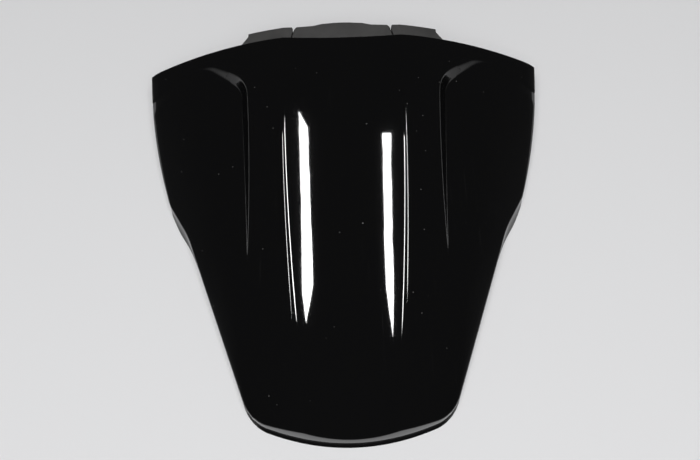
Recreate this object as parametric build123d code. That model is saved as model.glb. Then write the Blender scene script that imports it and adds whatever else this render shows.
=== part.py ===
from build123d import *
from math import radians, tan
import os

# Seat cowl, millimetres. +X is across it, +Y runs from the tail to the front, +Z is up.
# Places along the cowl are measured from the tail end, unless a name says BACK: then from the front edge.
SHELL_LENGTH = 296.0
HALF_WIDTH = 153.5
WALL = 3.0

# Plan outline of one side.
TAIL_HALF_WIDTH = 62.5
TAIL_BOW = 15.0
TAIL_CORNER_RADIUS = 32.0
NOTCH_TAIL_Y = 146.5
NOTCH_TAIL_HALF_WIDTH = 112.0
NOTCH_BLEND_RADIUS = 90.0
NOTCH_FRONT_Y = 175.0
NOTCH_FRONT_HALF_WIDTH = 128.2
NOTCH_CORNER_RADIUS = 9.0
WING_SIDE_BOW = 4.0
FRONT_BOW = 4.0
FRONT_CORNER_RADIUS = 4.0

# Crown surface: each value is given at the tail end, half way and at the front edge.
SPINE_HEIGHT = (12.5, 45.0, 57.5)
RIDGE_HALF_SPAN = (28.1, 40.4, 44.8)
VALLEY_DEPTH = (3.6, 5.0, 2.4)
FLANK_HALF_SPAN = (62.0, 118.0, 153.0)
FLANK_HEIGHT = (5.0, 9.5, 26.0)
FLANK_BOW = (1.2, 5.0, 6.0)
RIDGE_RADIUS = 7.0

# Side recess: how deep its floor lies under the crown, at its tail, its middle and its front,
# on an inner, a middle and an outer line. Where it is negative, the floor has run out above the crown.
RECESS_STATIONS_BACK = (176.0, 96.0, 16.0)
RECESS_LINES_X = (70.0, 100.0, 130.0)
RECESS_DEPTHS = ((0.5, 7.8, 13.0), (-4.0, 1.1, 4.0), (-9.0, -3.5, -0.4))
RECESS_BASE_HEIGHT = 20.0
RECESS_WALL_DRAFT = 34.0
RECESS_TAIL_X = 73.3
RECESS_TAIL_BACK = 201.0
RECESS_CORNER_X = 93.8
RECESS_CORNER_BACK = 43.5
RECESS_CORNER_RADIUS = 10.0
RECESS_FRONT_SLOPE = 41.0
RECESS_FRONT_BACK = 24.0

# Lower rim: flat under the tail, then rising in an arc to the front corners.
RIM_FLAT_END = 205.0
RIM_FRONT_RISE = 17.0

# Stiffening ribs across the underside.
RIB_STATIONS = (70.0, 130.0, 245.0)
RIB_THICKNESS = 2.0
RIB_DEPTH = 5.0

# Three rubber pads bonded under the front edge, with a leaning slit between each two.
PAD_THICKNESS = 4.5
PAD_OVERLAP = 18.0
PAD_BOND_GAP = 0.2
PAD_CENTRE_REACH = 21.5
PAD_HUMP_FOOT_REACH = 18.2
PAD_SHOULDER_REACH = 15.5
PAD_END_REACH = 12.5
PAD_HUMP_HALF_WIDTH = 12.0
PAD_HUMP_FOOT_HALF_WIDTH = 22.0
PAD_SLIT_HALF_SPAN = 39.5
PAD_SLIT_LEAN = 6.0
PAD_SLIT_GAP = 1.0
PAD_SLIT_MOUTH = 3.5
PAD_ROW_HALF_WIDTH = 79.5
PAD_END_TAPER = 7.0

# Latch striker: a plate with a round loop, on four bosses moulded under the crown.
STRIKER_Y = 200.0
BOSS_LENGTH = 13.0
PLATE_WIDTH = 66.0
PLATE_LENGTH = 46.0
PLATE_THICKNESS = 2.5
PLATE_CORNER_RADIUS = 6.0
SCREW_SPACING_X = 50.0
SCREW_SPACING_Y = 30.0
LOOP_ROD_RADIUS = 4.0
LOOP_HALF_SPAN = 16.0
LOOP_BEND_RADIUS = 8.0
LOOP_DROP = 22.0
BOSS_RADIUS = 5.0
SCREW_RADIUS = 2.0
SCREW_DEPTH = 9.0
SCREW_HEAD_RADIUS = 4.0
SCREW_HEAD_HEIGHT = 2.6
THREAD_CLEARANCE = 0.05
PLATE_HOLE_CLEARANCE = 0.4

# Lengths that only have to reach past the cowl.
OVERRUN = 4.0
MARGIN = 30.0
DEEP = 120.0

TOTAL_LENGTH = SHELL_LENGTH + PAD_CENTRE_REACH


def parabola(values, stations, at):
    """The value at one place of the parabola through three values at three stations."""
    (a, b, c), (p, q, r) = values, stations
    return (
        a * (at - q) * (at - r) / ((p - q) * (p - r))
        + b * (at - p) * (at - r) / ((q - p) * (q - r))
        + c * (at - p) * (at - q) / ((r - p) * (r - q))
    )


def at_y(values, y):
    """A crown value at a place along the cowl."""
    return parabola(values, (0.0, SHELL_LENGTH / 2, SHELL_LENGTH), y)


def valley_point(share, y):
    """A point of the valley, from the left ridge at a share of -1 to the right ridge at 1."""
    ridge = at_y(RIDGE_HALF_SPAN, y)
    rise = at_y(VALLEY_DEPTH, y) * share**2
    return Vector(ridge * share, y, at_y(SPINE_HEIGHT, y) + rise)


def flank_point(share, y):
    """A point of the right flank, from the ridge at a share of 0 to the wing's edge at 1 and on past it."""
    ridge = valley_point(1.0, y)
    x = ridge.X + share * (at_y(FLANK_HALF_SPAN, y) - ridge.X)
    drop = share * (at_y(FLANK_HEIGHT, y) - ridge.Z)
    return Vector(x, y, ridge.Z + drop + 4 * at_y(FLANK_BOW, y) * share * (1 - share))


def flank_height(x, y):
    """The flank's height at a place in plan."""
    ridge = at_y(RIDGE_HALF_SPAN, y)
    return flank_point((x - ridge) / (at_y(FLANK_HALF_SPAN, y) - ridge), y).Z


def recess_floor_point(x, y):
    """A point of the right recess's floor, or of the same surface carried on past the recess."""
    stations = [SHELL_LENGTH - back for back in RECESS_STATIONS_BACK]
    lines = []
    for line_x, depths in zip(RECESS_LINES_X, RECESS_DEPTHS):
        heights = [flank_height(line_x, station) - depth for station, depth in zip(stations, depths)]
        lines.append(parabola(heights, stations, y))
    return Vector(x, y, parabola(lines, RECESS_LINES_X, x))


def bezier_poles(first, middle, last):
    """The poles of the parabola that starts at first, passes middle half way and ends at last."""
    return [first, middle * 2 - (first + last) * 0.5, last]


def patch(point_at, across, along):
    """The exact surface of a point function that is a parabola both across and along."""
    halfway = [(low, (low + high) / 2, high) for low, high in (across, along)]
    rows = [bezier_poles(*[point_at(u, v) for v in halfway[1]]) for u in halfway[0]]
    columns = [bezier_poles(*column) for column in zip(*rows)]
    return Face.make_bezier_surface(columns)


def both_sides(right):
    """A right-hand shape together with its mirror image."""
    return right + mirror(right, Plane.YZ)


def crown_body():
    """Everything under the crown's top surface, carried on past the cowl on all sides."""
    along = (-OVERRUN, TOTAL_LENGTH + OVERRUN)
    valley = Solid.extrude(patch(valley_point, (-1.0, 1.0), along), Vector(0, 0, -DEEP))
    flank = Solid.extrude(patch(flank_point, (0.0, 1.5), along), Vector(0, 0, -DEEP))
    body = valley + both_sides(flank)
    long_edges = body.edges().filter_by(lambda edge: edge.length > SHELL_LENGTH)
    return fillet(long_edges.sort_by(Axis.Z)[-2:], RIDGE_RADIUS)


def under_crown(drop):
    """The crown body, lowered."""
    return Pos(0, 0, -drop) * CROWN


def crown_layer(drop, thickness):
    """A layer of even upright thickness that follows the crown, lowered."""
    return under_crown(drop) - under_crown(drop + thickness)


def corner(sketch, x, y):
    """The sketch's corners at a place in plan, on both sides."""
    return sketch.vertices().filter_by(lambda v: abs(abs(v.X) - x) < 0.01 and abs(v.Y - y) < 0.01)


def front_corners(outline):
    """The two ends of an outline's front edge, left and right."""
    return outline.vertices().group_by(Axis.Y)[-1].sort_by(Axis.X)


def plan_outline():
    """The shell's outline: bowed tail, straight sides, stepped wings, and a front edge with sharp ends."""
    tail = (TAIL_HALF_WIDTH, TAIL_BOW)
    notch_tail = (NOTCH_TAIL_HALF_WIDTH, NOTCH_TAIL_Y)
    notch_front = (NOTCH_FRONT_HALF_WIDTH, NOTCH_FRONT_Y)
    front = (HALF_WIDTH, SHELL_LENGTH - FRONT_BOW)
    side = Polyline(tail, notch_tail, notch_front)
    wing = SagittaArc(notch_front, front, -WING_SIDE_BOW)
    ends = [
        ThreePointArc((-tail[0], tail[1]), (0, 0), tail),
        ThreePointArc((-front[0], front[1]), (0, SHELL_LENGTH), front),
    ]
    right = [*side.edges(), *wing.edges()]
    left = [mirror(edge, Plane.YZ) for edge in right]
    outline = make_face([*right, *left, *ends])
    rounding = (
        (tail, TAIL_CORNER_RADIUS),
        (notch_tail, NOTCH_BLEND_RADIUS),
        (notch_front, NOTCH_CORNER_RADIUS),
    )
    for place, radius in rounding:
        outline = fillet(corner(outline, *place), radius)
    return outline


def recess(wall):
    """The space of the right recess, or with a wall, that space and the wall around and under it."""
    tail = Vector(RECESS_TAIL_X, SHELL_LENGTH - RECESS_TAIL_BACK)
    turn = Vector(RECESS_CORNER_X, SHELL_LENGTH - RECESS_CORNER_BACK)
    outside = FLANK_HALF_SPAN[2] + MARGIN
    hook_length = RECESS_CORNER_BACK - RECESS_FRONT_BACK
    tip = turn + Vector(hook_length / tan(radians(RECESS_FRONT_SLOPE)), hook_length)
    plan = make_face(Polyline(tail, turn, tip, (outside, tip.Y), (outside, tail.Y), close=True))
    bends = [plan.vertices().sort_by_distance(place)[0] for place in (turn, tip)]
    plan = fillet(bends, RECESS_CORNER_RADIUS)
    if wall:
        plan = offset(plan, wall, kind=Kind.INTERSECTION)
    walls = extrude(Pos(0, 0, RECESS_BASE_HEIGHT) * plan, DEEP, taper=-RECESS_WALL_DRAFT)
    across = (RECESS_LINES_X[0] - MARGIN, outside + MARGIN)
    along = (tail.Y - MARGIN, SHELL_LENGTH + MARGIN)
    floor = patch(recess_floor_point, across, along)
    above_floor = Solid.extrude(floor, Vector(0, 0, DEEP))
    return walls & (Pos(0, 0, -wall) * above_floor)


def rim_cut():
    """What lies under the lower rim where it rises to the front."""
    end = SHELL_LENGTH + MARGIN
    reach = end - RIM_FLAT_END
    rise = RIM_FRONT_RISE * (reach / (SHELL_LENGTH - RIM_FLAT_END)) ** 2
    curve = Bezier((RIM_FLAT_END, 0), (RIM_FLAT_END + reach / 2, 0), (end, rise))
    floor = Polyline((end, rise), (end, -MARGIN), (RIM_FLAT_END, -MARGIN), (RIM_FLAT_END, 0))
    profile = Plane.YZ * make_face([*curve.edges(), *floor.edges()])
    return extrude(profile, FLANK_HALF_SPAN[2] + MARGIN, both=True)


def striker_places():
    """The four screw places, in plan."""
    return GridLocations(SCREW_SPACING_X, SCREW_SPACING_Y, 2, 2).locations


def at_screws(shape):
    """One copy of a shape at each screw place, with its zero height on top of the striker plate."""
    base = Pos(0, STRIKER_Y, PLATE_TOP)
    return [base * place * shape for place in striker_places()]


def upright(radius, height, start=0.0):
    """An upright round bar that starts at a height."""
    return Pos(0, 0, start) * Cylinder(radius, height, align=(Align.CENTER, Align.CENTER, Align.MIN))


def cowl_shell():
    """The moulded shell: an even wall under the crown and inside the outline, open below and in front."""
    outline = plan_outline()
    rounded = fillet(front_corners(outline), FRONT_CORNER_RADIUS)
    body = extrude(rounded, DEEP) & CROWN
    body -= both_sides(recess(0.0))

    inside = offset(outline, -WALL, kind=Kind.INTERSECTION)
    left, right = front_corners(inside)
    mouth = Rectangle(right.X - left.X, MARGIN, align=(Align.CENTER, Align.MIN))
    inside += Pos(0, right.Y) * mouth
    hollow = extrude(Pos(0, 0, -MARGIN) * inside, MARGIN + DEEP) & under_crown(WALL)
    hollow -= both_sides(recess(WALL))
    rib_layer = crown_layer(WALL, RIB_DEPTH)
    for station in RIB_STATIONS:
        slab = Pos(0, station, 0) * Box(2 * HALF_WIDTH, RIB_THICKNESS, 2 * DEEP)
        hollow -= rib_layer & slab
    hollow -= at_screws(upright(BOSS_RADIUS, DEEP))

    shell = body - hollow - rim_cut()
    return shell - at_screws(upright(SCREW_RADIUS + THREAD_CLEARANCE, SCREW_DEPTH + THREAD_CLEARANCE))


def front_pads():
    """The three pads, from left to right: one strip that follows the underside, parted by two slits."""
    back = SHELL_LENGTH - PAD_OVERLAP
    end_x = PAD_ROW_HALF_WIDTH - PAD_END_TAPER
    right = [
        (0, SHELL_LENGTH + PAD_CENTRE_REACH),
        (PAD_HUMP_HALF_WIDTH, SHELL_LENGTH + PAD_CENTRE_REACH),
        (PAD_HUMP_FOOT_HALF_WIDTH, SHELL_LENGTH + PAD_HUMP_FOOT_REACH),
        (PAD_SLIT_HALF_SPAN, SHELL_LENGTH + PAD_SHOULDER_REACH),
        (end_x, SHELL_LENGTH + PAD_END_REACH),
        (PAD_ROW_HALF_WIDTH, SHELL_LENGTH),
        (PAD_ROW_HALF_WIDTH, back),
        (0, back),
    ]
    plan = both_sides(make_face(Polyline(*right, close=True)))
    strip = extrude(plan, DEEP) & crown_layer(WALL + PAD_BOND_GAP, PAD_THICKNESS)
    slit = Polyline(
        (-PAD_SLIT_GAP / 2, -PAD_OVERLAP - MARGIN),
        (PAD_SLIT_GAP / 2, -PAD_OVERLAP - MARGIN),
        (PAD_SLIT_GAP / 2, 0),
        (PAD_SLIT_MOUTH / 2, PAD_CENTRE_REACH),
        (-PAD_SLIT_MOUTH / 2, PAD_CENTRE_REACH),
        (-PAD_SLIT_GAP / 2, 0),
        close=True,
    )
    slit = Pos(PAD_SLIT_HALF_SPAN, SHELL_LENGTH) * Rot(0, 0, PAD_SLIT_LEAN) * make_face(slit)
    slit = extrude(slit, DEEP)
    return (strip - both_sides(slit)).solids().sort_by(Axis.X)


def latch_striker():
    """The steel striker: a drilled plate with a bent round bar welded under it."""
    plate = extrude(RectangleRounded(PLATE_WIDTH, PLATE_LENGTH, PLATE_CORNER_RADIUS), -PLATE_THICKNESS)
    plate = Pos(0, STRIKER_Y, PLATE_TOP) * plate
    hole_radius = SCREW_RADIUS + PLATE_HOLE_CLEARANCE
    plate -= at_screws(upright(hole_radius, 2 * PLATE_THICKNESS, -2 * PLATE_THICKNESS))
    weld = -PLATE_THICKNESS
    bar = weld - LOOP_DROP + LOOP_ROD_RADIUS
    left_leg = [(-LOOP_HALF_SPAN, weld), (-LOOP_HALF_SPAN, bar)]
    right_leg = [(LOOP_HALF_SPAN, bar), (LOOP_HALF_SPAN, weld)]
    path = Plane.XZ * FilletPolyline(*left_leg, *right_leg, radius=LOOP_BEND_RADIUS)
    section = Plane(path @ 0, z_dir=path % 0) * Circle(LOOP_ROD_RADIUS)
    return plate + Pos(0, STRIKER_Y, PLATE_TOP) * sweep(section, path)


def striker_screws():
    """The four screws, heads under the striker plate."""
    head = upright(SCREW_HEAD_RADIUS, SCREW_HEAD_HEIGHT, -PLATE_THICKNESS - SCREW_HEAD_HEIGHT)
    head = fillet(head.edges().sort_by(Axis.Z)[0], SCREW_HEAD_HEIGHT / 2)
    screw = head + upright(SCREW_RADIUS, PLATE_THICKNESS + SCREW_DEPTH, -PLATE_THICKNESS)
    return Compound(at_screws(screw))


CROWN = crown_body()
PLATE_TOP = at_y(SPINE_HEIGHT, STRIKER_Y) - WALL - BOSS_LENGTH

pad_left, pad_centre, pad_right = front_pads()
nodes = {
    "cowl_shell": cowl_shell(),
    "front_pad_left": pad_left,
    "front_pad_centre": pad_centre,
    "front_pad_right": pad_right,
    "latch_striker": latch_striker(),
    "striker_screws": striker_screws(),
}
os.makedirs("parts", exist_ok=True)
for name, shape in nodes.items():
    export_step(Pos(0, -TOTAL_LENGTH / 2, 0) * shape, f"parts/{name}.step")
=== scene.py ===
import math

import bmesh
import bpy
from mathutils import Matrix, Vector


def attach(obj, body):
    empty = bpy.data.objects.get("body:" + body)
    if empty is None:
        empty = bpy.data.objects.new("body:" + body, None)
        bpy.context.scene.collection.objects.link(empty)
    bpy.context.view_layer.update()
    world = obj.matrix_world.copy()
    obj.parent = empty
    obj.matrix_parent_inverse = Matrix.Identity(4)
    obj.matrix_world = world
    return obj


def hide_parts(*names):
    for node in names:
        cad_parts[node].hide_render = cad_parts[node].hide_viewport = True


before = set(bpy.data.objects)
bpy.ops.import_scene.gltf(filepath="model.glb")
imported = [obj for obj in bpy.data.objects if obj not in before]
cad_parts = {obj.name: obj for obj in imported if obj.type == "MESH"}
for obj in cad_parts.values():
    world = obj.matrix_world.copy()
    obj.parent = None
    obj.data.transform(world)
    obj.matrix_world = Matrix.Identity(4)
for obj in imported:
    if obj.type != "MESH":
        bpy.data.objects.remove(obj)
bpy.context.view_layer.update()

# Cowl shell: one injection moulding in gloss black ABS, 3 mm thick, open below and at the front.
# Its crown carries a shallow valley between two ridges, and a hooked recess is pressed into each side.
# All lengths are in millimetres from the tail end until the piece is laid into the frame.
LENGTH = 296.0
TOTAL_LENGTH = 317.5
WALL = 3.0
MM = 0.001

SPINE_HEIGHT = (12.5, 45.0, 57.5)
RIDGE_HALF_SPAN = (28.1, 40.4, 44.8)
VALLEY_DEPTH = (3.6, 5.0, 2.4)
FLANK_HALF_SPAN = (62.0, 118.0, 153.0)
FLANK_HEIGHT = (5.0, 9.5, 26.0)
FLANK_BOW = (1.2, 5.0, 6.0)
RIDGE_RADIUS = 7.0


def parabola(values, stations, at):
    """The value at one place of the parabola through three values at three stations."""
    (a, b, c), (p, q, r) = values, stations
    return (
        a * (at - q) * (at - r) / ((p - q) * (p - r))
        + b * (at - p) * (at - r) / ((q - p) * (q - r))
        + c * (at - p) * (at - q) / ((r - p) * (r - q))
    )


def along(values, y):
    """A crown value between the tail end, half way and the front edge."""
    return parabola(values, (0.0, LENGTH / 2, LENGTH), y)


def soft_lower(a, b, blend):
    """The lower of two heights, rounded where they cross."""
    return min(a, b) - max(blend - abs(a - b), 0.0) ** 2 / (4 * blend)


def soft_higher(a, b, blend):
    """The higher of two heights, rounded where they cross."""
    return -soft_lower(-a, -b, blend)


def flank_height(x, y):
    """The flank's height, from the ridge down to the wing's edge."""
    ridge = along(RIDGE_HALF_SPAN, y)
    top = along(SPINE_HEIGHT, y) + along(VALLEY_DEPTH, y)
    share = (x - ridge) / (along(FLANK_HALF_SPAN, y) - ridge)
    bow = 4 * along(FLANK_BOW, y) * share * (1 - max(share, 0.0))
    return top + share * (along(FLANK_HEIGHT, y) - top) + bow


def crown_height(x, y):
    """The crown's height: valley and flanks, with the ridge between them rounded to its radius."""
    x = abs(x)
    ridge = along(RIDGE_HALF_SPAN, y)
    depth = along(VALLEY_DEPTH, y)
    span = along(FLANK_HALF_SPAN, y) - ridge
    valley = along(SPINE_HEIGHT, y) + depth * (x / ridge) ** 2
    fall = along(SPINE_HEIGHT, y) + depth - along(FLANK_HEIGHT, y) - 4 * along(FLANK_BOW, y)
    turn = 2 * depth / ridge + fall / span
    return soft_lower(valley, flank_height(x, y), RIDGE_RADIUS * turn**2 / 2)


RECESS_STATIONS = (120.0, 200.0, 280.0)
RECESS_LINES = (70.0, 100.0, 130.0)
RECESS_DEPTHS = ((0.5, 7.8, 13.0), (-4.0, 0.6, 4.2), (-9.0, -3.5, 0.9))
RECESS_PLAN = [Vector(place) for place in ((55.0, 96.8), (73.3, 256.4), (103.9, 286.8), (190.0, 286.8))]
RECESS_CORNER_RADIUS = 30.9
RECESS_TOP_HEIGHT = 50.0
RECESS_DRAFT = (28.0, 20.0, 33.0)
RECESS_DRAFT_STATIONS = (236.0, 256.0, 276.0)
RECESS_FOOT_BLEND = 0.8
RECESS_EDGE_BLEND = 0.45
RECESS_CREASE_BLEND = 0.12


def recess_floor(x, y):
    """The recess floor's height, a double parabola set under the flank."""
    lines = []
    for line, depths in zip(RECESS_LINES, RECESS_DEPTHS):
        heights = [flank_height(line, station) - depth for station, depth in zip(RECESS_STATIONS, depths)]
        lines.append(parabola(heights, RECESS_STATIONS, y))
    return parabola(lines, RECESS_LINES, x)


def outside_recess(x, y):
    """The distance in plan to the top of the recess wall, with the wall's bends rounded."""
    place = Vector((x, y))
    runs = [(end - start).normalized() for start, end in zip(RECESS_PLAN, RECESS_PLAN[1:])]
    sides = [Vector((-run.y, run.x)) for run in runs]
    distance = max((place - start).dot(side) for start, side in zip(RECESS_PLAN, sides))
    for corner, before, after, side, next_side in zip(RECESS_PLAN[1:], runs, runs[1:], sides, sides[1:]):
        inward = (side + next_side).normalized()
        middle = corner - inward * (RECESS_CORNER_RADIUS / inward.dot(side))
        if (place - middle).dot(before) > 0 > (place - middle).dot(after):
            distance = (place - middle).length - RECESS_CORNER_RADIUS
    return distance


def recess_draft(y):
    """The wall's lean: steepest in the corner of the hook, and flattest along its front."""
    run, corner, front = RECESS_DRAFT
    start, middle, end = RECESS_DRAFT_STATIONS
    from_value, to_value = (run, corner) if y < middle else (corner, front)
    share = (y - start) / (middle - start) if y < middle else (y - middle) / (end - middle)
    share = min(max(share, 0.0), 1.0)
    return math.radians(from_value + (to_value - from_value) * share * share * (3 - 2 * share))


def recess_wall(x, y):
    """The height of the sloping wall round the recess, falling from its upper edge."""
    return RECESS_TOP_HEIGHT + outside_recess(x, y) / math.tan(recess_draft(y))


TAIL_HALF_WIDTH = 62.5
TAIL_BOW = 15.0
TAIL_CORNER_RADIUS = 32.0
NOTCH_TAIL = (112.0, 146.5)
NOTCH_FRONT = (128.2, 175.0)
NOTCH_BLEND_REACH = 6.5
NOTCH_CORNER_REACH = 1.5
HALF_WIDTH = 153.5
WING_SIDE_BOW = 4.0
WING_ROLL_START = 165.0
WING_ROLL_WIDTH = 9.0
WING_ROLL_SLOPE = 0.3
FRONT_BOW = 2.9
FRONT_BOW_POWER = 4.8
RIM_FLAT_END = 205.0
RIM_FRONT_RISE = 17.0

SIDE_SLOPE = (NOTCH_TAIL[0] - TAIL_HALF_WIDTH) / (NOTCH_TAIL[1] - TAIL_BOW)
NOTCH_SLOPE = (NOTCH_FRONT[0] - NOTCH_TAIL[0]) / (NOTCH_FRONT[1] - NOTCH_TAIL[1])
WING_RUN = LENGTH - FRONT_BOW - NOTCH_FRONT[1]
WING_CURL = 4 * WING_SIDE_BOW / WING_RUN**2
WING_SLOPE = (HALF_WIDTH - NOTCH_FRONT[0]) / WING_RUN + WING_CURL * WING_RUN
tail_lean = 2 * math.atan(TAIL_BOW / TAIL_HALF_WIDTH)
side_lean = math.atan2(1, SIDE_SLOPE)
half_turn = (side_lean - tail_lean) / 2
corner_cut = TAIL_CORNER_RADIUS * (1 / math.cos(half_turn) - 1)
corner_run = TAIL_CORNER_RADIUS * math.tan(half_turn)
TAIL_CORNER_X = TAIL_HALF_WIDTH - corner_cut * math.sin(tail_lean + half_turn)
TAIL_CORNER_Y = TAIL_BOW + corner_cut * math.cos(tail_lean + half_turn)
TAIL_CORNER_REACH_X = TAIL_CORNER_X - TAIL_HALF_WIDTH + corner_run * math.cos(tail_lean)
TAIL_CORNER_REACH_Y = TAIL_BOW - TAIL_CORNER_Y + corner_run * math.sin(side_lean)


def bend(y, corner, reach, turn):
    """What a line gains past a corner where its slope changes, eased over a reach on both sides."""
    if y > corner + reach:
        return turn * (y - corner)
    return turn * max(y - corner + reach, 0.0) ** 2 / (4 * reach)


def half_width(y):
    """Half of the shell's width: straight sides, a step out to the wings, and bowed wing sides."""
    side = TAIL_HALF_WIDTH + SIDE_SLOPE * (y - TAIL_BOW)
    side += bend(y, NOTCH_TAIL[1], NOTCH_BLEND_REACH, NOTCH_SLOPE - SIDE_SLOPE)
    side += bend(y, NOTCH_FRONT[1], NOTCH_CORNER_REACH, WING_SLOPE - NOTCH_SLOPE)
    side -= WING_CURL * max(y - NOTCH_FRONT[1], 0.0) ** 2
    ease = max(TAIL_CORNER_Y + TAIL_CORNER_REACH_Y - y, 0.0) / TAIL_CORNER_REACH_Y
    corner_gap = TAIL_HALF_WIDTH + SIDE_SLOPE * (TAIL_CORNER_Y - TAIL_BOW) - TAIL_CORNER_X
    return side - corner_gap * ease**2


def shell_height(x, y):
    """The shell's outer height: crown and recesses together, rolled over along the wing's edge."""
    x = abs(x)
    floor, wall = recess_floor(x, y), recess_wall(x, y)
    blend = RECESS_EDGE_BLEND if wall > floor else RECESS_CREASE_BLEND
    height = soft_lower(crown_height(x, y), soft_higher(floor, wall, RECESS_FOOT_BLEND), blend)
    roll = WING_ROLL_WIDTH * max(y - WING_ROLL_START, 0.0) / (LENGTH - WING_ROLL_START)
    inside = max(half_width(y) - x, 0.0)
    if inside < roll:
        height -= WING_ROLL_SLOPE * (roll - inside) ** 2 / (2 * roll)
    return height


def tail_edge(x):
    """The tail end's place along the cowl: a bow that turns up into its rounded corners."""
    ease = max(abs(x) - TAIL_CORNER_X + TAIL_CORNER_REACH_X, 0.0) / TAIL_CORNER_REACH_X
    corner_gap = TAIL_CORNER_Y - TAIL_BOW * (TAIL_CORNER_X / TAIL_HALF_WIDTH) ** 2
    return TAIL_BOW * (x / TAIL_HALF_WIDTH) ** 2 + corner_gap * ease**2


def rim_height(y):
    """The lower rim: flat under the tail, then rising in an arc to the front corners."""
    return RIM_FRONT_RISE * (max(y - RIM_FLAT_END, 0.0) / (LENGTH - RIM_FLAT_END)) ** 2


ROW_COUNTS = (44, 62, 78)
ROW_STATIONS = (110.0, 240.0)
COLUMN_COUNTS = (12, 10, 8, 32, 40, 1)
RIDGE_STRIP = 5.0
RECESS_GUIDE = (40.0, 65.3, 72.5)
RECESS_STRIP = (4.0, 13.0)
EDGE_STRIP = 3.0
STRIP_GAP = 1.0
TAIL_FADE = 90.0


def spread(share, counts, places):
    """A place on a line of stretches, each divided evenly into its own count of steps."""
    step = share * sum(counts)
    for count, start, end in zip(counts, places, places[1:]):
        if step <= count:
            return start + (end - start) * step / count
        step -= count
    return places[-1]


def shell_place(across, lengthwise, inset):
    """Where a point of a square from -1 to 1 lies in the outline, with its lines along ridge and recess."""
    share = (lengthwise + 1) / 2
    y = spread(share, ROW_COUNTS, (TAIL_CORNER_Y, *ROW_STATIONS, LENGTH - FRONT_BOW))
    width = half_width(y) - inset
    ridge = along(RIDGE_HALF_SPAN, y)
    guide = along(RECESS_GUIDE, y)
    strip = width - EDGE_STRIP
    inner, outer = RECESS_STRIP
    wall_end = min(guide + outer, strip - STRIP_GAP)
    lines = (0.0, ridge - RIDGE_STRIP, ridge + RIDGE_STRIP, guide - inner, wall_end, strip, width)
    x = spread(abs(across), COLUMN_COUNTS, lines)
    near_tail = max(1 - (y - TAIL_CORNER_Y) / TAIL_FADE, 0.0) ** 2
    tail_shift = tail_edge(x / width * TAIL_CORNER_X) - TAIL_CORNER_Y + inset
    front_shift = FRONT_BOW * (1 - (x / width) ** 2) ** FRONT_BOW_POWER * share**2
    return math.copysign(x, across), y + tail_shift * near_tail + front_shift


RIM_LIP = 1.0
RIM_LIP_REACH = 1.6
RIM_TUCK = 0.6
NOTCH_FLARE = 1.7
NOTCH_FLARE_STATIONS = (126.0, 158.0, 182.0)
SLOPE_STEP = 0.1
TAIL_ROW_MARGIN = 0.01
FRONT_ROW = 0.999


def slope_at(line, place):
    """The slope of an outline's line at one place."""
    return (line(place + SLOPE_STEP) - line(place - SLOPE_STEP)) / (2 * SLOPE_STEP)


def outward(x, y, inset):
    """The direction in plan in which the outline faces at a point on it."""
    if y < TAIL_CORNER_Y + inset + TAIL_ROW_MARGIN:
        facing = Vector((slope_at(tail_edge, min(abs(x), TAIL_CORNER_X)), -1.0))
    else:
        facing = Vector((1.0, -slope_at(half_width, y)))
    return Vector((math.copysign(facing.x, x), facing.y)).normalized()


def notch_flare(y):
    """The share of its flare that the wall's foot has under the step to the wing."""
    start, middle, end = NOTCH_FLARE_STATIONS
    share = (y - start) / (middle - start) if y < middle else (end - y) / (end - middle)
    share = max(share, 0.0)
    return share * share * (3 - 2 * share)


def turn_down(shell, edges, inset, flare, lip, height):
    """A strip grown from a skin's border down to a height over the rim, its lip fading from tail to sides."""
    strip = bmesh.ops.extrude_edge_only(shell, edges=edges)["geom"]
    for vert in strip:
        if isinstance(vert, bmesh.types.BMVert):
            x, y, z = vert.co
            facing = outward(x, y, inset)
            out = facing * (flare * notch_flare(y) + lip * max(-facing.y, 0.0))
            vert.co = (x + out.x, y + out.y, rim_height(y) + height)
    return [edge for edge in strip if isinstance(edge, bmesh.types.BMEdge)]


def shell_skin(shell, inset, drop):
    """One skin: a grid lifted to the shell's height, with walls turned down to a small lip at the rim."""
    columns, rows = 2 * sum(COLUMN_COUNTS), sum(ROW_COUNTS)
    grid = bmesh.ops.create_grid(shell, x_segments=columns, y_segments=rows, size=1.0)
    front = {vert for vert in grid["verts"] if vert.co.y > FRONT_ROW}
    for vert in grid["verts"]:
        x, y = shell_place(vert.co.x, vert.co.y, inset)
        vert.co = (x, y, shell_height(x, y) - drop)
    border = {edge for vert in grid["verts"] for edge in vert.link_edges if edge.is_boundary}
    turned = [edge for edge in border if not front.issuperset(edge.verts)]
    foot = turn_down(shell, turned, inset, NOTCH_FLARE, -RIM_TUCK, RIM_LIP)
    turn_down(shell, foot, inset, 0.0, RIM_LIP_REACH, 0.0)


INSIDE_FINISH = 1
SHARP = math.radians(40)
EDGE_ROUNDING = 1.4
EDGE_SEGMENTS = 4
LIP_ROUNDING = 0.4
LIP_SEGMENTS = 2

shell = bmesh.new()
shell_skin(shell, WALL, WALL)
for face in shell.faces:
    face.material_index = INSIDE_FINISH
shell_skin(shell, 0.0, 0.0)
bmesh.ops.bridge_loops(shell, edges=[edge for edge in shell.edges if edge.is_boundary])
bmesh.ops.recalc_face_normals(shell, faces=shell.faces)


def round_edges(mesh, edges, offset, segments):
    """Roundings along the convex edges."""
    bmesh.ops.bevel(
        mesh, geom=edges, offset=offset, affect="EDGES", segments=segments, profile=0.5, material=-1,
        clamp_overlap=True,
    )


def sharp_edges(mesh):
    """The convex edges that a rounding goes on."""
    return [edge for edge in mesh.edges if edge.is_convex and edge.calc_face_angle(0.0) > SHARP]


def at_rim(edge):
    """Whether an edge lies along the lower rim."""
    return all(vert.co.z < rim_height(vert.co.y) + RIM_LIP for vert in edge.verts)


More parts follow.
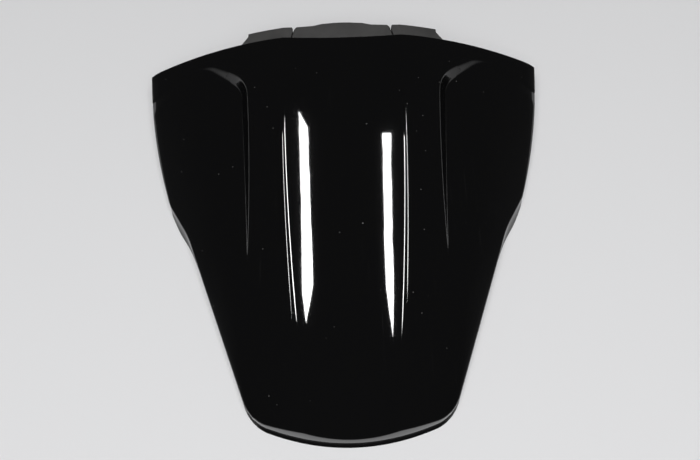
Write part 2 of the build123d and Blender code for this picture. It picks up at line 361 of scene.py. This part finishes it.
round_edges(shell, [edge for edge in sharp_edges(shell) if not at_rim(edge)], EDGE_ROUNDING, EDGE_SEGMENTS)
round_edges(shell, [edge for edge in sharp_edges(shell) if at_rim(edge)], LIP_ROUNDING, LIP_SEGMENTS)

RIB_STATIONS = (70.0, 130.0, 245.0)
RIB_THICKNESS = 2.0
RIB_DEPTH = 5.0
RIB_ROOT = 1.0
RIB_STEPS = 90
for station in RIB_STATIONS:
    rib = bmesh.ops.create_grid(shell, x_segments=RIB_STEPS, y_segments=1, size=1.0)["verts"]
    for vert in rib:
        x = vert.co.x * (half_width(station) - WALL)
        reach = -RIB_DEPTH if vert.co.y < 0 else RIB_ROOT
        vert.co = (x, station - RIB_THICKNESS / 2, shell_height(x, station) - WALL + reach)
    web = {face for vert in rib for face in vert.link_faces}
    grown = bmesh.ops.extrude_face_region(shell, geom=list(web))["geom"]
    far_side = [vert for vert in grown if isinstance(vert, bmesh.types.BMVert)]
    bmesh.ops.translate(shell, vec=(0, RIB_THICKNESS, 0), verts=far_side)
    whole = list({face for vert in rib + far_side for face in vert.link_faces})
    bmesh.ops.recalc_face_normals(shell, faces=whole)
    for face in whole:
        face.material_index = INSIDE_FINISH

STRIKER_Y = 200.0
SCREWS_ACROSS = (-25.0, 25.0)
SCREWS_ALONG = (-15.0, 15.0)
SCREW_PLACES = [(x, STRIKER_Y + y) for x in SCREWS_ACROSS for y in SCREWS_ALONG]
BOSS_RADIUS = 5.0
BOSS_SEGMENTS = 32
BOSS_LENGTH = 13.0
PLATE_TOP = along(SPINE_HEIGHT, STRIKER_Y) - WALL - BOSS_LENGTH
for x, y in SCREW_PLACES:
    top = shell_height(x, y) - WALL + RIB_ROOT
    middle = Matrix.Translation((x, y, (top + PLATE_TOP) / 2))
    boss = bmesh.ops.create_cone(
        shell, cap_ends=True, segments=BOSS_SEGMENTS, radius1=BOSS_RADIUS, radius2=BOSS_RADIUS,
        depth=top - PLATE_TOP, matrix=middle,
    )
    for face in {face for vert in boss["verts"] for face in vert.link_faces}:
        face.material_index = INSIDE_FINISH


def lay_into_frame(mesh, name, *finishes):
    """The finished piece, in metres and in the frame, with its sharp edges kept crisp."""
    bmesh.ops.translate(mesh, vec=(0, -TOTAL_LENGTH / 2, 0), verts=mesh.verts)
    bmesh.ops.scale(mesh, vec=(MM, MM, MM), verts=mesh.verts)
    for face in mesh.faces:
        face.smooth = True
    for edge in mesh.edges:
        edge.smooth = edge.calc_face_angle(0.0) < SHARP
    data = bpy.data.meshes.new(name)
    mesh.to_mesh(data)
    mesh.free()
    for finish in finishes:
        data.materials.append(finish)
    piece = bpy.data.objects.new(name, data)
    bpy.context.scene.collection.objects.link(piece)
    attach(piece, "root")
    return piece


def new_finish(name, colour, roughness):
    """A material with its shader, and a helper that adds and wires further nodes."""
    material = bpy.data.materials.new(name)
    material.use_nodes = True
    nodes, links = material.node_tree.nodes, material.node_tree.links
    shader = nodes["Principled BSDF"]
    shader.inputs["Base Color"].default_value = (*colour, 1.0)
    shader.inputs["Roughness"].default_value = roughness
    place = nodes.new("ShaderNodeTexCoord").outputs["Object"]

    def add(kind, settings=(), **inputs):
        node = nodes.new("ShaderNode" + kind)
        for key, value in dict(settings).items():
            setattr(node, key, value)
        for key, value in inputs.items():
            socket = node.inputs[int(key[1:])] if key[1:].isdigit() else node.inputs[key.replace("_", " ")]
            if isinstance(value, bpy.types.NodeSocket):
                links.new(value, socket)
            else:
                socket.default_value = value
        return node

    return material, shader, place, add, links


GLOSS_BLACK = (0.003, 0.003, 0.0032)
POLISH = 0.03
DUST_GREY = (0.09, 0.088, 0.085)
DUST_ROUGHNESS = 0.5
SATIN_BLACK = (0.012, 0.012, 0.0125)
ABS_IOR = 1.5
gloss_black, shader, place, add, links = new_finish("gloss_black_abs", GLOSS_BLACK, POLISH)
shader.inputs["IOR"].default_value = ABS_IOR
swell = add("TexNoise", Vector=place, Scale=45.0, Detail=1.0)
flow = add("Bump", Strength=0.06, Distance=0.0006, Height=swell.outputs["Fac"])
links.new(flow.outputs["Normal"], shader.inputs["Normal"])
motes = add("TexVoronoi", Vector=place, Scale=200.0)
mote_pick = add("SeparateColor", Color=motes.outputs["Color"])
mote_core = add(
    "MapRange", Value=motes.outputs["Distance"], From_Min=0.03, From_Max=0.10, To_Min=1.0, To_Max=0.0,
)
mote_kept = add("Math", {"operation": "LESS_THAN"}, _0=mote_pick.outputs["Red"], _1=0.12)
mote = add("Math", {"operation": "MULTIPLY"}, _0=mote_core.outputs["Result"], _1=mote_kept.outputs["Value"])
stroke = add("Mapping", Vector=place, Rotation=(0.0, 0.0, 0.06), Scale=(900.0, 9.0, 9.0))
streak = add("TexNoise", Vector=stroke.outputs["Vector"], Scale=1.0, Detail=2.0)
streak_core = add("MapRange", Value=streak.outputs["Fac"], From_Min=0.70, From_Max=0.76)
wear = add("TexNoise", Vector=place, Scale=22.0, Detail=2.0)
worn = add("MapRange", Value=wear.outputs["Fac"], From_Min=0.5, From_Max=0.66)
hairline = add("Math", {"operation": "MULTIPLY"}, _0=streak_core.outputs["Result"], _1=worn.outputs["Result"])
faint = add("Math", {"operation": "MULTIPLY"}, _0=hairline.outputs["Value"], _1=0.10)
marks = add("Math", {"operation": "MAXIMUM"}, _0=mote.outputs["Value"], _1=faint.outputs["Value"])
dusty = add(
    "Mix", {"data_type": "RGBA"}, _0=marks.outputs["Value"], _6=(*GLOSS_BLACK, 1.0), _7=(*DUST_GREY, 1.0),
)
links.new(dusty.outputs[2], shader.inputs["Base Color"])
dull = add("MapRange", Value=marks.outputs["Value"], To_Min=POLISH, To_Max=DUST_ROUGHNESS)
links.new(dull.outputs["Result"], shader.inputs["Roughness"])

satin_black, shader, place, add, links = new_finish("satin_black_abs", SATIN_BLACK, 0.38)
shader.inputs["IOR"].default_value = ABS_IOR
grain = add("TexNoise", Vector=place, Scale=1400.0, Detail=3.0)
tooth = add("Bump", Strength=0.25, Distance=0.0002, Height=grain.outputs["Fac"])
links.new(tooth.outputs["Normal"], shader.inputs["Normal"])

cowl = lay_into_frame(shell, "cowl_shell_moulding", gloss_black, satin_black)
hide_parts("cowl_shell")

# Front pads: three strips of matte black rubber bonded under the front edge.
# They follow the underside of the crown and stand out past the edge, with a fine slit between each two.
PAD_OVERLAP = 18.0
PAD_BACK = LENGTH - PAD_OVERLAP
PAD_THICKNESS = 4.5
PAD_BOND_GAP = 0.2
PAD_ROUNDING = 0.7
PAD_SEGMENTS = 3
PAD_COLUMNS = 72
PAD_ROWS = 34
PAD_SLIT_HALF_SPAN = 39.5
PAD_SLIT_LEAN = math.tan(math.radians(9.0))
PAD_SLIT_HALF_GAP = 0.3
PAD_MOUTH_DEPTH = 4.0
PAD_MOUTH_FLARE = 1.5
PAD_SHOULDER_REACH = 14.5
PAD_ROW_HALF_WIDTH = 80.0
PAD_END_TAPER = 7.0
PAD_END_REACH = 10.9
PAD_FRONT = (
    (0.0, 20.6),
    (6.0, 20.4),
    (16.0, 19.2),
    (22.5, 16.9),
    (PAD_SLIT_HALF_SPAN, PAD_SHOULDER_REACH),
    (55.0, 13.0),
    (PAD_ROW_HALF_WIDTH, PAD_END_REACH),
)


def pad_front(x):
    """How far the row of pads reaches: a hump in the middle, shoulders, then falling to its ends."""
    for (start, reach), (end, end_reach) in zip(PAD_FRONT, PAD_FRONT[1:]):
        if abs(x) <= end:
            return LENGTH + reach + (end_reach - reach) * (abs(x) - start) / (end - start)
    return LENGTH + PAD_END_REACH


def slit_side(y, side):
    """One side of the right slit: a fine cut that flares open at its mouth."""
    past = y - LENGTH
    mouth = max(past - PAD_SHOULDER_REACH + PAD_MOUTH_DEPTH, 0.0) / PAD_MOUTH_DEPTH
    gap = PAD_SLIT_HALF_GAP + PAD_MOUTH_FLARE * mouth**2
    return PAD_SLIT_HALF_SPAN - past * PAD_SLIT_LEAN + side * gap


def row_end(y):
    """The row's end, tapered where it stands out past the shell."""
    return PAD_ROW_HALF_WIDTH - PAD_END_TAPER * min(max(y - LENGTH, 0.0) / PAD_END_REACH, 1.0)


RUBBER = (0.026, 0.0255, 0.025)
RUBBER_DARK = (0.017, 0.0165, 0.016)
RUBBER_CHALKED = (0.037, 0.036, 0.035)
rubber, shader, place, add, links = new_finish("pad_rubber", RUBBER, 0.62)
grain = add("TexNoise", Vector=place, Scale=1600.0, Detail=4.0)
tooth = add("Bump", Strength=0.5, Distance=0.0003, Height=grain.outputs["Fac"])
links.new(tooth.outputs["Normal"], shader.inputs["Normal"])
bloom = add("TexNoise", Vector=place, Scale=85.0, Detail=6.0, Roughness=0.7)
chalk = add("MapRange", Value=bloom.outputs["Fac"], From_Min=0.35, From_Max=0.68)
shade = add(
    "Mix", {"data_type": "RGBA"}, _0=chalk.outputs["Result"], _6=(*RUBBER_DARK, 1.0),
    _7=(*RUBBER_CHALKED, 1.0),
)
links.new(shade.outputs[2], shader.inputs["Base Color"])
rub = add("MapRange", Value=bloom.outputs["Fac"], From_Min=0.3, From_Max=0.7, To_Min=0.5, To_Max=0.74)
links.new(rub.outputs["Result"], shader.inputs["Roughness"])

PAD_SIDES = {
    "left": (lambda y: -row_end(y), lambda y: -slit_side(y, 1)),
    "centre": (lambda y: -slit_side(y, -1), lambda y: slit_side(y, -1)),
    "right": (lambda y: slit_side(y, 1), row_end),
}
for name, (left_side, right_side) in PAD_SIDES.items():
    pad = bmesh.new()
    top = bmesh.ops.create_grid(pad, x_segments=PAD_COLUMNS, y_segments=PAD_ROWS, size=1.0)["verts"]
    for vert in top:
        across, lengthwise = (vert.co.x + 1) / 2, (vert.co.y + 1) / 2
        y = PAD_BACK + (LENGTH + PAD_SHOULDER_REACH - PAD_BACK) * lengthwise
        x = left_side(y) + (right_side(y) - left_side(y)) * across
        y = PAD_BACK + (pad_front(x) - PAD_BACK) * lengthwise
        vert.co = (x, y, crown_height(x, y) - WALL - PAD_BOND_GAP)
    bottom = bmesh.ops.extrude_face_region(pad, geom=list(pad.faces))["geom"]
    bottom = [vert for vert in bottom if isinstance(vert, bmesh.types.BMVert)]
    bmesh.ops.translate(pad, vec=(0, 0, -PAD_THICKNESS), verts=bottom)
    bmesh.ops.recalc_face_normals(pad, faces=pad.faces)
    round_edges(pad, sharp_edges(pad), PAD_ROUNDING, PAD_SEGMENTS)
    piece = lay_into_frame(pad, f"pad_{name}", rubber)
    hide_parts(f"front_pad_{name}")

# Latch striker and its screws: a zinc plated steel plate with a bent bar welded under it.
# Four screws hold it to the bosses under the crown. Their solids are kept as they are.
ZINC = (0.6, 0.6, 0.58)
zinc, shader, place, add, links = new_finish("zinc_plated_steel", ZINC, 0.36)
shader.inputs["Metallic"].default_value = 1.0
cloud = add("TexNoise", Vector=place, Scale=220.0, Detail=4.0)
patina = add("MapRange", Value=cloud.outputs["Fac"], To_Min=0.28, To_Max=0.46)
links.new(patina.outputs["Result"], shader.inputs["Roughness"])
for name in ("latch_striker", "striker_screws"):
    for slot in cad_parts[name].material_slots:
        slot.material = zinc

# Floor: a plain pale sheet that the cowl stands on.
# It is only there to carry the shadow and is no part of the object.
FLOOR_HALF_SIZE = 4.0
FLOOR_DROP = 0.0002
FLOOR_GREY = (0.78, 0.78, 0.79)
floor_mesh = bmesh.new()
bmesh.ops.create_grid(floor_mesh, x_segments=1, y_segments=1, size=FLOOR_HALF_SIZE)
bmesh.ops.translate(floor_mesh, vec=(0, 0, -FLOOR_DROP), verts=floor_mesh.verts)
floor_data = bpy.data.meshes.new("floor")
floor_mesh.to_mesh(floor_data)
floor_mesh.free()
floor = bpy.data.objects.new("floor", floor_data)
bpy.context.scene.collection.objects.link(floor)
pale, shader, *_ = new_finish("pale_floor", FLOOR_GREY, 0.6)
shader.inputs["Specular IOR Level"].default_value = 0.0
floor_data.materials.append(pale)

# Light: two long tubes that run back and up over the cowl, a broad soft light above, and even daylight.
# The tubes draw the long highlights in the valley and on the ridges.
TUBE_X = 0.34
TUBE_CORNERS = {
    1: ((-0.046, 1.091), (0.06, 1.098), (1.442, 2.005), (1.395, 2.21), (0.112, 1.421)),
    -1: ((-0.10, 1.055), (0.03, 1.087), (1.038, 1.69), (1.209, 2.022), (0.097, 1.334)),
}
TUBE_STRENGTH = 52.0
KEY_SIZE = 1.6
KEY_POWER = 24.0
KEY_PLACE = (0.0, -1.0, 1.7)
DAYLIGHT_STRENGTH = 1.5
DAYLIGHT_SPREAD = math.radians(60)
glow = bpy.data.materials.new("tube_glow")
glow.use_nodes = True
glow_nodes = glow.node_tree.nodes
glow_nodes.remove(glow_nodes["Principled BSDF"])
emission = glow_nodes.new("ShaderNodeEmission")
emission.inputs["Strength"].default_value = TUBE_STRENGTH
surface = glow_nodes["Material Output"].inputs["Surface"]
glow.node_tree.links.new(emission.outputs["Emission"], surface)
for side, corners in TUBE_CORNERS.items():
    card = bmesh.new()
    card.faces.new([card.verts.new((side * TUBE_X, y, z)) for y, z in corners])
    card_data = bpy.data.meshes.new("tube")
    card.to_mesh(card_data)
    card.free()
    card_data.materials.append(glow)
    tube = bpy.data.objects.new("tube", card_data)
    bpy.context.scene.collection.objects.link(tube)
    tube.visible_diffuse = False
    tube.visible_camera = False

lamp = bpy.data.lights.new("soft_key", "AREA")
lamp.shape = "SQUARE"
lamp.size = KEY_SIZE
lamp.energy = KEY_POWER
key = bpy.data.objects.new("soft_key", lamp)
bpy.context.scene.collection.objects.link(key)
key.location = KEY_PLACE
key.rotation_euler = (math.atan2(-KEY_PLACE[1], KEY_PLACE[2]), 0.0, 0.0)
key.visible_glossy = False
daylight = bpy.data.lights.new("soft_daylight", "SUN")
daylight.energy = DAYLIGHT_STRENGTH
daylight.angle = DAYLIGHT_SPREAD
sky = bpy.data.objects.new("soft_daylight", daylight)
bpy.context.scene.collection.objects.link(sky)
sky.rotation_euler = key.rotation_euler
sky.visible_glossy = False

# Room: dark overhead and towards the front, and paler low down on the side that the cowl is seen from.
# The shell mirrors it, so these levels set how grey the recess walls and the rim look.
LOW_BAND = (0.0, 0.4, 1.0, 0.0)
VIEWED_SIDE = (-0.35, 0.25, 0.75, 0.03)
ROOM_BASE = 0.03
world = bpy.data.worlds.new("room")
bpy.context.scene.world = world
world.use_nodes = True
room_nodes, room_links = world.node_tree.nodes, world.node_tree.links
direction = room_nodes.new("ShaderNodeSeparateXYZ")
room_links.new(room_nodes.new("ShaderNodeTexCoord").outputs["Generated"], direction.inputs["Vector"])


def room_fade(axis, start, end, start_level, end_level):
    """A level that eases from one value to another along one axis of the room's directions."""
    fade = room_nodes.new("ShaderNodeMapRange")
    fade.interpolation_type = "SMOOTHSTEP"
    levels = {"From Min": start, "From Max": end, "To Min": start_level, "To Max": end_level}
    for name, value in levels.items():
        fade.inputs[name].default_value = value
    room_links.new(direction.outputs[axis], fade.inputs["Value"])
    return fade.outputs["Result"]


glow_level = room_nodes.new("ShaderNodeMath")
glow_level.operation = "MULTIPLY_ADD"
room_links.new(room_fade("Z", *LOW_BAND), glow_level.inputs[0])
room_links.new(room_fade("Y", *VIEWED_SIDE), glow_level.inputs[1])
glow_level.inputs[2].default_value = ROOM_BASE
room_links.new(glow_level.outputs["Value"], room_nodes["Background"].inputs["Color"])

# Camera: above the tail, looking forward and down along the cowl.
# Its place, turns and focal length were worked out for an image 700 pixels wide.
CAMERA_PLACE = Vector((1.1, -290.2, 435.1)) * MM
CAMERA_DIP = math.radians(56.47)
CAMERA_YAW = math.radians(-0.17)
CAMERA_ROLL = math.radians(-1.42)
FOCAL_PIXELS = 720.0
IMAGE_WIDTH = 700.0
SENSOR_WIDTH = 36.0
camera_data = bpy.data.cameras.new("camera")
camera_data.sensor_fit = "HORIZONTAL"
camera_data.sensor_width = SENSOR_WIDTH
camera_data.lens = SENSOR_WIDTH * FOCAL_PIXELS / IMAGE_WIDTH
camera_data.clip_start = 0.01
camera = bpy.data.objects.new("camera", camera_data)
bpy.context.scene.collection.objects.link(camera)
tilt = Matrix.Rotation(CAMERA_YAW, 4, "Z") @ Matrix.Rotation(math.radians(90) - CAMERA_DIP, 4, "X")
camera.matrix_world = Matrix.Translation(CAMERA_PLACE) @ tilt @ Matrix.Rotation(CAMERA_ROLL, 4, "Z")
bpy.context.scene.camera = camera
bpy.context.scene.view_settings.view_transform = "Standard"
